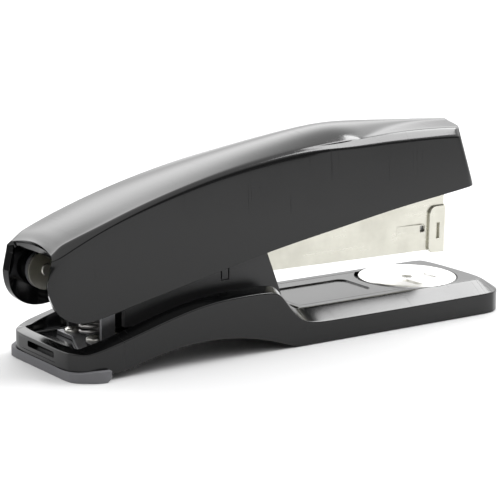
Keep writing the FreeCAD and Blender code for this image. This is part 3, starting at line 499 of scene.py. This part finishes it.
BACK_HOLLOW = 1.5
BACK_ROLL = 1.3
NOSE_RAKE = 0.304                # how far the nose leans forward for each step down
NOSE_STEP = 1.5                  # how far it stands out under the band
# Where each section of the cover stands at its top edge and at its foot
COVER_STATIONS = [(-122.1, -123.5), (-121.2, -122.7), (-119.4, -120.6), (-116.8, -117.4)]
COVER_STATIONS += [(x, x) for x in (-113.3, -108, -101, -93, -85, -77, -69, -61, -54, -48, -43,
                                    -38.5, -34, -30, -26, -21.5, -16.5, -11.5, -6.5, -2, 2, 5.2, 7.7)]
LIP_HALF = 8.6
RIB_HALF = 9.4
CARRIER_SCREWS = [(-50.0, 0.0), (-10.0, 0.0)]
COVER_BACK = COVER_STATIONS[0][0]
COVER_FRONT = COVER_STATIONS[-1][0]


def nose_share(x):
    return ease(x, -34, COVER_FRONT)


def side_line(high, low):
    """Height of the line on the side where its lean begins."""
    return min(max(SIDE_LINE, low + 2.0), high - 3.0)


def side_out(z, line):
    return COVER_HALF - SIDE_LEAN * max(z - line, 0.0)


def lid_half(x):
    high = lid_edge(x) - band_drop(x)
    return side_out(high, side_line(high, foot_height(x))) - band_width(x)


def bowed(x, y):
    """Ends of the lid: the nose bows forward and the back is hollowed."""
    share = 1 - (y / 13.0) ** 2
    hollow = BACK_HOLLOW * (1 - ease(x, COVER_BACK, -112))
    return x + NOSE_BOW * share * nose_share(x) + share * hollow


def rolled_back(x):
    """How far the back edge of the lid is rolled down."""
    return BACK_ROLL * (1 - ease(x, COVER_BACK, -118.6)) ** 2


def lid_height(x, y):
    edge = lid_edge(x) - rolled_back(x)
    foot = edge + dome_foot(x)
    half = dome_half(x)
    if abs(y) < half:
        return foot + (crown(x) - rolled_back(x) - foot) * (1 - (y / half) ** 2)
    return edge + dome_foot(x) * (lid_half(x) - abs(y)) / (lid_half(x) - half)


def lid_columns(x):
    half = dome_half(x)
    edge = lid_half(x)
    one_side = [half / 3, half * 2 / 3, half, (half + edge) / 2, edge]
    return [-y for y in reversed(one_side)] + [0.0] + one_side


def foot_height(x):
    """Lower edge of the cover: round about the hinge, then the straight belly."""
    if x < HINGE.x:
        return HINGE.z - math.sqrt(max(HINGE_ROUND ** 2 - (x - HINGE.x) ** 2, 0.0))
    return belly(x)


def ring_height(level, high, low):
    """Height of a ring round the sides, and of its side line.  Ring 0 is just under the band,
    and ring 8 is the lower edge."""
    line = side_line(high, low)
    heights = [high, high - 0.08 * (high - line), (high + line) / 2, line + 0.7, line - 0.7,
               line + (low - line) * 0.4, line + (low - line) * 0.75, low + 0.6, low]
    return heights[level], line


def cover_ring(level):
    """One line round the sides and the nose."""
    line = []
    for side in (-1, 1):
        one_side = []
        for top, foot in COVER_STATIONS:
            high = lid_edge(top) - band_drop(top)
            low = foot_height(foot)
            z, bend = ring_height(level, high, low)
            drop = (high - z) / (high - low)
            turn_in = 1.5 * (1 - ease(top, COVER_BACK - 1.0, -119.2)) ** 2
            y = side_out(z, bend) - turn_in * ease(drop, -0.2, 0.12)
            lean = NOSE_RAKE * (high - z) + NOSE_STEP
            x = top + (foot - top) * drop + lean * nose_share(top) ** 3
            one_side.append((x, side * y, z))
        if side < 0:
            line += one_side
        else:
            far_side = one_side[::-1]
    corner = line[-1]
    columns = lid_columns(COVER_FRONT)
    for y in columns[1:-1]:
        across = y * abs(corner[1]) / lid_half(COVER_FRONT)
        x = corner[0] + bowed(COVER_FRONT, y) - bowed(COVER_FRONT, columns[0])
        high = lid_height(COVER_FRONT, y) - band_drop(COVER_FRONT)
        line.append((x, across, ring_height(level, high, belly(x))[0]))
    return line + far_side


def lid_rim():
    """The lid's own edge, along one side, across the nose and back along the other."""
    near = []
    for top, _ in COVER_STATIONS:
        y = -lid_half(top)
        near.append((bowed(top, y), y, lid_height(top, y)))
    far = [(x, -y, z) for x, y, z in reversed(near)]
    across = [(bowed(COVER_FRONT, y), y, lid_height(COVER_FRONT, y))
              for y in lid_columns(COVER_FRONT)[1:-1]]
    return near + across + far


def rounded(place):
    return tuple(round(c, 2) for c in place)


def crease_front(form, rims):
    """Keep the edges of the band, and the foot of the dome, crisp towards the nose."""
    crease = form.edges.layers.float.new("crease_edge")
    rims = [{rounded(place) for place in rim} for rim in rims]
    for edge in form.edges:
        ends = {rounded(vert.co) for vert in edge.verts}
        middle = (edge.verts[0].co.x + edge.verts[1].co.x) / 2
        if any(ends <= rim for rim in rims):
            edge[crease] = 0.62 * ease(middle, -52, -30)
        elif all(abs(abs(vert.co.y) - dome_half(vert.co.x)) < 0.4 for vert in edge.verts):
            edge[crease] = 0.45 * ease(middle, -32, -22) * (1 - ease(middle, 0, 8))


def make_cover():
    form = bmesh.new()
    skin_over(form, [[(bowed(top, y), y, lid_height(top, y)) for y in lid_columns(top)]
                     for top, _ in COVER_STATIONS])
    rings = [lid_rim()] + [cover_ring(level) for level in range(9)]
    skin_over(form, rings)
    face_out(form, (-50, 0, 200))
    crease_front(form, rings[:2])
    cover = into_object("cover", form, 180)
    smooth_out(cover)
    thicken(cover, COVER_WALL)
    break_edges(cover, 0.45, 55)
    join_up(cover, "cover", "cover black", "gloss_black", "cover_shell")


def make_back_lip():
    """The short wall that turns down from the back of the lid."""
    lip = bmesh.new()
    across = [y * LIP_HALF / 5 for y in range(-5, 6)]
    skin_over(lip, [
        [(bowed(COVER_BACK, y) + 0.35, y, lid_height(COVER_BACK, y) - 0.3) for y in across],
        [(bowed(COVER_BACK, y) + 0.45, y, lid_height(COVER_BACK, y) - 1.2) for y in across],
        [(bowed(COVER_BACK, y) + 0.8, y, 30.2) for y in across],
    ])
    face_out(lip, (-200, 0, 31))
    lip = into_object("cover_back_lip", lip, 60)
    thicken(lip, 1.8)
    break_edges(lip, 0.4, 50)
    join_up(lip, "cover", "cover black", "gloss_black")


def make_cover_inside():
    """Bosses that hold the hinge studs, screw posts and ribs under the roof."""
    form = bmesh.new()
    for side in (-1, 1):
        boss = turned([(1.66, 8.9), (4.2, 8.9), (4.6, 9.3), (4.6, 10.9), (1.66, 10.9), (1.66, 8.9)],
                      ORIGIN, "Y")
        if side > 0:
            bmesh.ops.scale(boss, vec=(1, -1, 1), verts=boss.verts)
            bmesh.ops.reverse_faces(boss, faces=boss.faces)
        bmesh.ops.translate(boss, vec=HINGE, verts=boss.verts)
        gather(form, boss)
    for x, _ in CARRIER_SCREWS:
        top = crown(x) - 1.0
        gather(form, turned([(1.2, 47.1), (2.9, 47.1), (3.2, 47.5), (3.4, top)], (x, 0, 0)))
    for x in (-104, -92, -80, -68, -34, -22):
        top = lid_edge(x) - 1.2
        gather(form, slab((x - 0.6, -RIB_HALF, top - 2.6), (x + 0.6, RIB_HALF, top)))
    inside = into_object("cover_bosses", form)
    break_edges(inside, 0.2)
    join_up(inside, "cover", "cover black", "gloss_black")


# ---------------------------------------------------------------- base

BASE_BACK = -119.3
BASE_FRONT = 22.3
BASE_HALF = 19.0
WELL_HALF = 14.0
WELL_BACK = -116.5
WELL_FRONT = -49.5
BASE_WALL = 2.0
FOOT_HEIGHT = 2.2                # where the back of the base stands on its rubber foot
DECK_END = 17.3
REAR_CORNER = 8.5
FRONT_CORNER = 8.0
# Lines along the base: the tops of its side and of its rim, the well's floor, the lower edge
wall_top = line_through([(-119.3, 6.9), (-116, 7.1), (-110, 8.4), (-100, 11.0), (-90, 13.7),
                         (-80, 15.6), (-72, 16.1), (-65, 16.1), (-60.5, 15.9), (-58.3, 15.0),
                         (-56.8, 13.2), (-54.7, 10.5), (-52, 7.9), (-48.7, 6.4), (-43, 5.8),
                         (22.3, 5.8)])
rim_top = line_through([(-119.3, 7.6), (-116, 7.9), (-110, 9.3), (-100, 12.0), (-90, 14.7),
                        (-80, 16.6), (-72, 17.1), (-64, 17.1), (-59, 16.9), (-56.6, 15.9),
                        (-54.9, 13.9), (-53, 11.6), (-50.6, 9.8), (-47.5, 9.05), (-44, 9.0),
                        (22.3, 9.0)])
well_floor = line_through([(-116.5, 5.8), (-98, 5.8), (-90, 7.4), (-81, 8.2), (-70, 6.8),
                           (-56, 3.4), (-49.5, 3.0)])
arch = line_through([(-110.6, 0.3), (-106, 1.6), (-98, 3.9), (-89, 5.5), (-81, 6.0), (-73, 5.5),
                     (-64, 3.8), (-56, 1.3), (-53, 0.3)])


def rounded_plan(x, y):
    """Turn the plan's square corners into round ones."""
    for corner_x, radius, way in ((BASE_BACK, REAR_CORNER, -1), (BASE_FRONT, FRONT_CORNER, 1)):
        dx = way * (x - (corner_x - way * radius))
        dy = abs(y) - (BASE_HALF - radius)
        if dx > 0 and dy > 0:
            keep = max(dx, dy) / math.hypot(dx, dy)
            x = corner_x - way * radius + way * dx * keep
            y = math.copysign(BASE_HALF - radius + dy * keep, y)
    bow = 1.0 * (y / BASE_HALF) ** 2 * ease(x, 4, BASE_FRONT)
    return x - bow, y


def base_height(x, y):
    """Height of the base's upper side over its square plan: level, with a bevelled border."""
    side = (abs(y) - WELL_HALF) / (BASE_HALF - WELL_HALF)
    if side < -0.01 and WELL_BACK < x < WELL_FRONT:
        return well_floor(x)
    back = max(WELL_BACK - x, 0.0) / (WELL_BACK - BASE_BACK)
    ahead = (x - DECK_END) / (BASE_FRONT - DECK_END)
    share = max(side, back ** 2, ahead, 0.0)
    return rim_top(x) - (rim_top(x) - wall_top(x)) * share


def base_columns():
    one_side = [4.5, 9.0, 12.9, 13.75, 14.05, 14.6, 16.3, 18.2, 18.75]
    return [-BASE_HALF] + [-y for y in reversed(one_side)] + [0.0] + one_side + [BASE_HALF]


def base_stations():
    behind = [BASE_BACK, -119.05, -118.3, -117.2, -116.62, -116.35, -115.2, -112.3]
    middle = [-107, -101, -94, -87, -80, -73, -67, -62, -59.4, -57.6, -55.9, -54.2, -52.2]
    throat = [-50.6, -49.75, -49.2, -47.6, -45.0, -40, -32, -22, -12, -2, 8]
    front = [14.3, 16.8, 17.35, 17.9, 19.6, 21.5, 22.05, BASE_FRONT]
    return behind + middle + throat + front


def base_wall(drop):
    """One line round the base, at a share of the way down its side."""
    columns = base_columns()
    stations = base_stations()
    square = [(x, -BASE_HALF) for x in stations]
    square += [(BASE_FRONT, y) for y in columns[1:]]
    square += [(x, BASE_HALF) for x in reversed(stations[:-1])]
    square += [(BASE_BACK, y) for y in reversed(columns[1:-1])]
    line = []
    for x, y in square:
        high = min(base_height(x, y), wall_top(x))
        low = FOOT_HEIGHT if x < -110.8 else arch(x)
        out_x, out_y = rounded_plan(x, y)
        line.append((out_x, out_y, high + (low - high) * drop))
    return line


def make_base():
    form = bmesh.new()
    columns = base_columns()
    lines = []
    for x in base_stations():
        lines.append([(*rounded_plan(x, y), base_height(x, y)) for y in columns])
    skin_over(form, lines)
    skin_over(form, [base_wall(drop) for drop in (0.0, 0.1, 0.3, 0.75, 0.95, 1.0)], closed=True)
    face_out(form, (0, 0, 200))
    base = into_object("base", form, 180)
    smooth_out(base)
    thicken(base, BASE_WALL)
    settle(base, 40)

    disc_bay = [(0, 7.95), (14.3, 7.95), (14.3, 13), (0, 13)]
    cutters = [
        into_object("panel_bay", slab((-46.95, -11.65, 8.0), (0, 11.65, 12), 0.6)),
        into_object("disc_bay", turned(disc_bay, ORIGIN, steps=96)),
        into_object("slot", slab((-122, -6.75, 4.3), (-117.6, 6.75, 5.9), 0.5, "X")),
        into_object("label_bay", slab((-122, -7.6, 3.3), (-119.12, 20.0, 6.2), 0.4, "X")),
    ]
    cut_away(base, cutters, 40)
    break_edges(base, 0.16, 48)
    join_up(base, "base", "base black", "gloss_black", "base_shell")

    ribs = bmesh.new()
    for x in (-34.0, -22.0):
        gather(ribs, slab((x, -15.6, 1.4), (x + 1.4, 15.6, 7.4)))
    for y in (-10.8, 10.8):
        pillar = [(1.55, 1.6), (4.2, 1.6), (4.5, 2.0), (4.7, 7.4), (1.55, 7.4), (1.55, 1.6)]
        gather(ribs, turned(pillar, (0, y, 0)))
    ribs = into_object("base_ribs", ribs)
    break_edges(ribs, 0.15)
    join_up(ribs, "base", "base black", "gloss_black")


def pull_out(form, outline, way):
    """A plate of a closed outline, as thick as the way that it is drawn out."""
    draw_line(form, outline, closed=True)
    sheet = bmesh.ops.contextual_create(form, geom=form.edges)["faces"]
    pulled = bmesh.ops.extrude_face_region(form, geom=sheet)["geom"]
    moved = [part for part in pulled if isinstance(part, bmesh.types.BMVert)]
    bmesh.ops.translate(form, vec=way, verts=moved)
    bmesh.ops.recalc_face_normals(form, faces=form.faces)


def make_deck_panel():
    """The inlay behind the disc: its front edge follows the disc, and a tray is sunk in it."""
    form = bmesh.new()
    back, half, low = -46.8, 11.5, 8.0
    bay = 15.1
    steps = 24
    start = math.atan2(half, -math.sqrt(bay ** 2 - half ** 2))
    outline = [(back, -half, low), (back, half, low)]
    for step in range(steps + 1):
        turn = start + 2 * (math.pi - start) * step / steps
        outline.append((bay * math.cos(turn), bay * math.sin(turn), low))
    pull_out(form, outline, (0, 0, 1.0))
    panel = into_object("panel", form)
    cut_away(panel, [into_object("tray", slab((-42, -7, 8.62), (-18, 7, 10), 2.4))])
    break_edges(panel, 0.14)
    join_up(panel, "base", "panel black", "gloss_black", "deck_panel")


GROOVES = ((5.0, 0.45, 6.75), (-4.4, 4.45, 10.85))      # place along, inner end, outer end
GROOVE_HALF = 0.95
GROOVE_DEPTH = 0.62
PRESSED_RING = 3.4               # a shallow ring round the rivet
PRESSED_HALF = 0.35
PRESSED_DEPTH = 0.12


def make_disc():
    """The anvil disc: pressed grooves that curl the staples in, and a pair that turns them out."""
    top = 9.2
    flat = 13.45
    steps = 64
    profile = [(flat * n / steps, top) for n in range(steps + 1)]
    profile += [(13.75, top - 0.07), (13.93, top - 0.2), (14.0, top - 0.42), (14.0, 8.15),
                (13.85, 8.0), (0.0, 8.0)]
    form = turned(profile, ORIGIN, steps=256)
    for vert in form.verts:
        if vert.co.z < top - 1e-4:
            continue
        x, y = vert.co.x, abs(vert.co.y)
        for place, inner, outer in GROOVES:
            middle = (inner + outer) / 2
            along = abs(y - middle) / ((outer - inner) / 2)
            across = abs(x - place) / GROOVE_HALF
            if along < 1 and across < 1:
                vert.co.z -= GROOVE_DEPTH * math.sqrt(1 - along ** 4) * (1 - across ** 2) ** 0.6
        ring = abs(math.hypot(x, y) - PRESSED_RING) / PRESSED_HALF
        if ring < 1 and x < 1.2:
            vert.co.z -= PRESSED_DEPTH * (1 - ring ** 2)
    disc = into_object("disc", form, 42)
    join_up(disc, "anvil", "anvil plating", "polished_steel", "anvil_disc")

    stud = turned([(0, 4.0), (2.0, 4.0), (2.3, 4.25), (2.3, 4.6), (1.5, 4.6), (1.5, 9.2),
                   (2.25, 9.2), (2.3, 9.3), (2.05, 9.5), (1.5, 9.6), (0.9, 9.61), (0.6, 9.5),
                   (0, 9.46)], ORIGIN)
    stud = into_object("stud", stud, 50)
    join_up(stud, "anvil", "anvil plating", "polished_steel", "anvil_stud")


# ---------------------------------------------------------------- magazine and small parts

def make_softened(name, node, body, look, slot, width):
    """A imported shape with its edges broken."""
    piece = into_object(name, copy_of(node))
    break_edges(piece, width)
    join_up(piece, body, look, slot, node)


def make_staples():
    """A strip of wire staples, glued side by side."""
    form = bmesh.new()
    half = 6.35
    wire = 0.5
    leg = 6.0
    length = 20.0
    count = 39
    pitch = length / count
    foot = -4.1 + 0.8 + 0.35                    # channel floor, its sheet, the gap under the legs
    top = foot + leg
    front = -HINGE.x + 7 - 0.8 - 1.65           # from the hinge to the nose, less sheet and gap
    arch_line = [(-half, foot), (-half, top), (half, top), (half, foot), (half - wire, foot),
                 (half - wire, top - wire), (-half + wire, top - wire), (-half + wire, foot)]
    for n in range(count):
        staple = bmesh.new()
        x = front - length + n * pitch
        pull_out(staple, [(x, y, z) for y, z in arch_line], (pitch - 0.035, 0, 0))
        long_edges = [e for e in staple.edges if abs(e.verts[0].co.x - e.verts[1].co.x) < 1e-6]
        bmesh.ops.bevel(staple, geom=long_edges, offset=0.1, segments=1, profile=0.5,
                        affect="EDGES", material=-1)
        gather(form, staple)
    hang(form)
    staples = into_object("staples", form)
    join_up(staples, "magazine", "staple wire", "staple_wire", "staple_strip")


BRACKET_SCREWS = [(x, y) for x in (-106.7, -101.0) for y in (-5.4, 5.4)]


def make_screws(name, node, places, top, radius, body, way=1):
    """Pan-head screws with a cross recess.  Those with way -1 have their heads downwards."""
    form = bmesh.new()
    for x, y in places:
        screw = turned([(0, -2.2), (1.15, -2.2), (1.15, 0), (radius, 0), (radius, 0.45),
                        (radius * 0.86, 0.85), (radius * 0.5, 1.08), (0, 1.12)], ORIGIN, steps=40)
        if way < 0:
            bmesh.ops.scale(screw, vec=(1, 1, -1), verts=screw.verts)
            bmesh.ops.reverse_faces(screw, faces=screw.faces)
        bmesh.ops.translate(screw, vec=(x, y, top), verts=screw.verts)
        gather(form, screw)
    screws = into_object(name, form, 50)
    cutters = []
    low, high = sorted((top + way * 0.45, top + way * 3))
    for x, y in places:
        for along, across in ((0.28, radius * 0.58), (radius * 0.58, 0.28)):
            arm = slab((x - along, y - across, low), (x + along, y + across, high))
            cutters.append(into_object("cross", arm))
    cut_away(screws, cutters, 40)
    join_up(screws, body, "zinc screw", "zinc_screw", node)


def make_housing():
    """The plastic trough, with a sprung snap tab cut in each side."""
    housing = into_object("housing", copy_of("magazine_housing"))
    inner, outer = 9.75, 10.6
    gaps = [(-71.3, 19.0, -70.9, 22.2), (-69.0, 19.0, -68.6, 22.2), (-71.3, 18.7, -68.6, 19.1)]
    cutters = []
    for near, far in ((-outer, -inner), (inner, outer)):
        for back, foot, ahead, top in gaps:
            cutters.append(into_object("gap", slab((back, near, foot), (ahead, far, top))))
    cut_away(housing, cutters)
    break_edges(housing, 0.22)
    join_up(housing, "magazine", "housing black", "satin_black", "magazine_housing")


def make_rear_foot():
    """The rubber foot, whose lip runs out thin across the back."""
    form = copy_of("rear_foot")
    for vert in form.verts:
        back = ease(-vert.co.x, 113, 119)          # 0 under the hinge, 1 at the back
        if vert.co.z > 2.5:
            vert.co.z -= 0.6 * back
        if vert.co.x < BASE_BACK:
            vert.co.x += (BASE_BACK - vert.co.x) * 0.6
        over = abs(vert.co.y) - (BASE_HALF - 2.0)
        if over > 0:
            vert.co.y -= math.copysign(over * 0.4 * back, vert.co.y)
    foot = into_object("back_foot", form)
    break_edges(foot, 0.4, 40, 3)
    join_up(foot, "base", "foot rubber", "foot_rubber", "rear_foot")


def make_pusher_spring():
    """The long spring on the rod, given a mesh of its own and carried with the pusher."""
    coil = into_object("long_spring", copy_of("pusher_spring"))
    join_up(coil, "pusher", "spring steel", "spring_steel", "pusher_spring")
    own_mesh(coil)


make_cover()
make_back_lip()
make_cover_inside()
make_base()
make_deck_panel()
make_disc()
make_staples()
make_housing()
make_rear_foot()
make_pusher_spring()
make_softened("channel", "magazine_channel", "magazine", "nickel sheet", "nickel_steel", 0.12)
make_softened("nose_cap", "nose_plate", "magazine", "nickel sheet", "nickel_steel", 0.16)
make_softened("rail", "staple_rail", "magazine", "zinc sheet", "plated_steel", 0.12)
make_softened("bridges", "rod_bridges", "magazine", "zinc sheet", "plated_steel", 0.12)
make_softened("follower", "pusher", "pusher", "housing black", "matte_black", 0.25)
make_softened("bracket", "hinge_bracket", "base", "dull zinc", "plated_steel", 0.14)
make_softened("carrier", "driver_carrier", "cover", "zinc sheet", "plated_steel", 0.12)
make_softened("blade", "driver_blade", "cover", "blade steel", "blade_steel", 0.08)
make_softened("studs", "hinge_studs", "base", "zinc screw", "zinc_screw", 0.2)
make_screws("floor_screws", "bracket_screws", BRACKET_SCREWS, 6.8, 2.1, "base")
make_screws("roof_screws", "carrier_screws", CARRIER_SCREWS, 46.1, 2.6, "cover", -1)


# ---------------------------------------------------------------- table, light and camera

def make_floor():
    form = bmesh.new()
    bmesh.ops.create_grid(form, x_segments=1, y_segments=1, size=6000.0)
    floor = into_object("table_top", form)

    def paper(recipe):
        fibre = recipe.cloud(recipe.place(), 30.0, 2)
        return {"Base Color": recipe.blend(fibre, (0.655, 0.655, 0.66), (0.67, 0.67, 0.67)),
                "Roughness": 0.7, "Specular IOR Level": 0.2}

    floor.data.materials.append(finish("white paper", paper))


def make_room():
    """Bright backdrop behind the stapler, dimmer room above it and in front."""
    world = bpy.data.worlds.new("studio")
    bpy.context.scene.world = world
    world.use_nodes = True
    recipe = Recipe(world.node_tree)
    way = recipe.node("ShaderNodeTexCoord", output=0)
    x, y, z = recipe.split(way)
    behind = (x * 0.577 + y * 0.816).between(-0.25, 0.55)
    back = 1.3 + 2.6 * z.between(0.2, 0.5) - 2.2 * z.between(0.55, 0.8)
    front = 0.22 + 1.2 * z.between(0.25, 0.8)
    glow = front + (back - front) * behind
    sockets = {"Color": (1.0, 1.0, 1.0, 1), "Strength": glow}
    light = recipe.node("ShaderNodeBackground", None, sockets)
    output = recipe.tree.nodes.new("ShaderNodeOutputWorld")
    recipe.tree.links.new(light.output, output.inputs["Surface"])


def make_softbox(name, place, size, power, target=(-0.05, 0, 0.03)):
    lamp = bpy.data.lights.new(name, "AREA")
    lamp.shape = "RECTANGLE"
    lamp.size, lamp.size_y = size
    lamp.energy = power
    box = bpy.data.objects.new(name, lamp)
    box.location = place
    box.rotation_euler = (Vector(target) - Vector(place)).to_track_quat("-Z", "Y").to_euler()
    bpy.context.scene.collection.objects.link(box)


def make_camera():
    lens = bpy.data.cameras.new("camera")
    lens.lens = 144.0
    lens.sensor_width = 36.0
    camera = bpy.data.objects.new("camera", lens)
    turn = Matrix.Rotation(math.radians(-35.21), 4, "Z")
    tilt = Matrix.Rotation(math.radians(90 - 12.53), 4, "X")
    roll = Matrix.Rotation(math.radians(0.61), 4, "Z")
    camera.matrix_world = Matrix.Translation((-0.35658, -0.42751, 0.13929)) @ turn @ tilt @ roll
    bpy.context.scene.collection.objects.link(camera)
    bpy.context.scene.camera = camera


make_floor()
make_room()
make_softbox("overhead", (0.76, -0.16, 0.93), (0.95, 0.3), 9.8)
make_camera()
bpy.context.scene.view_settings.view_transform = "Standard"
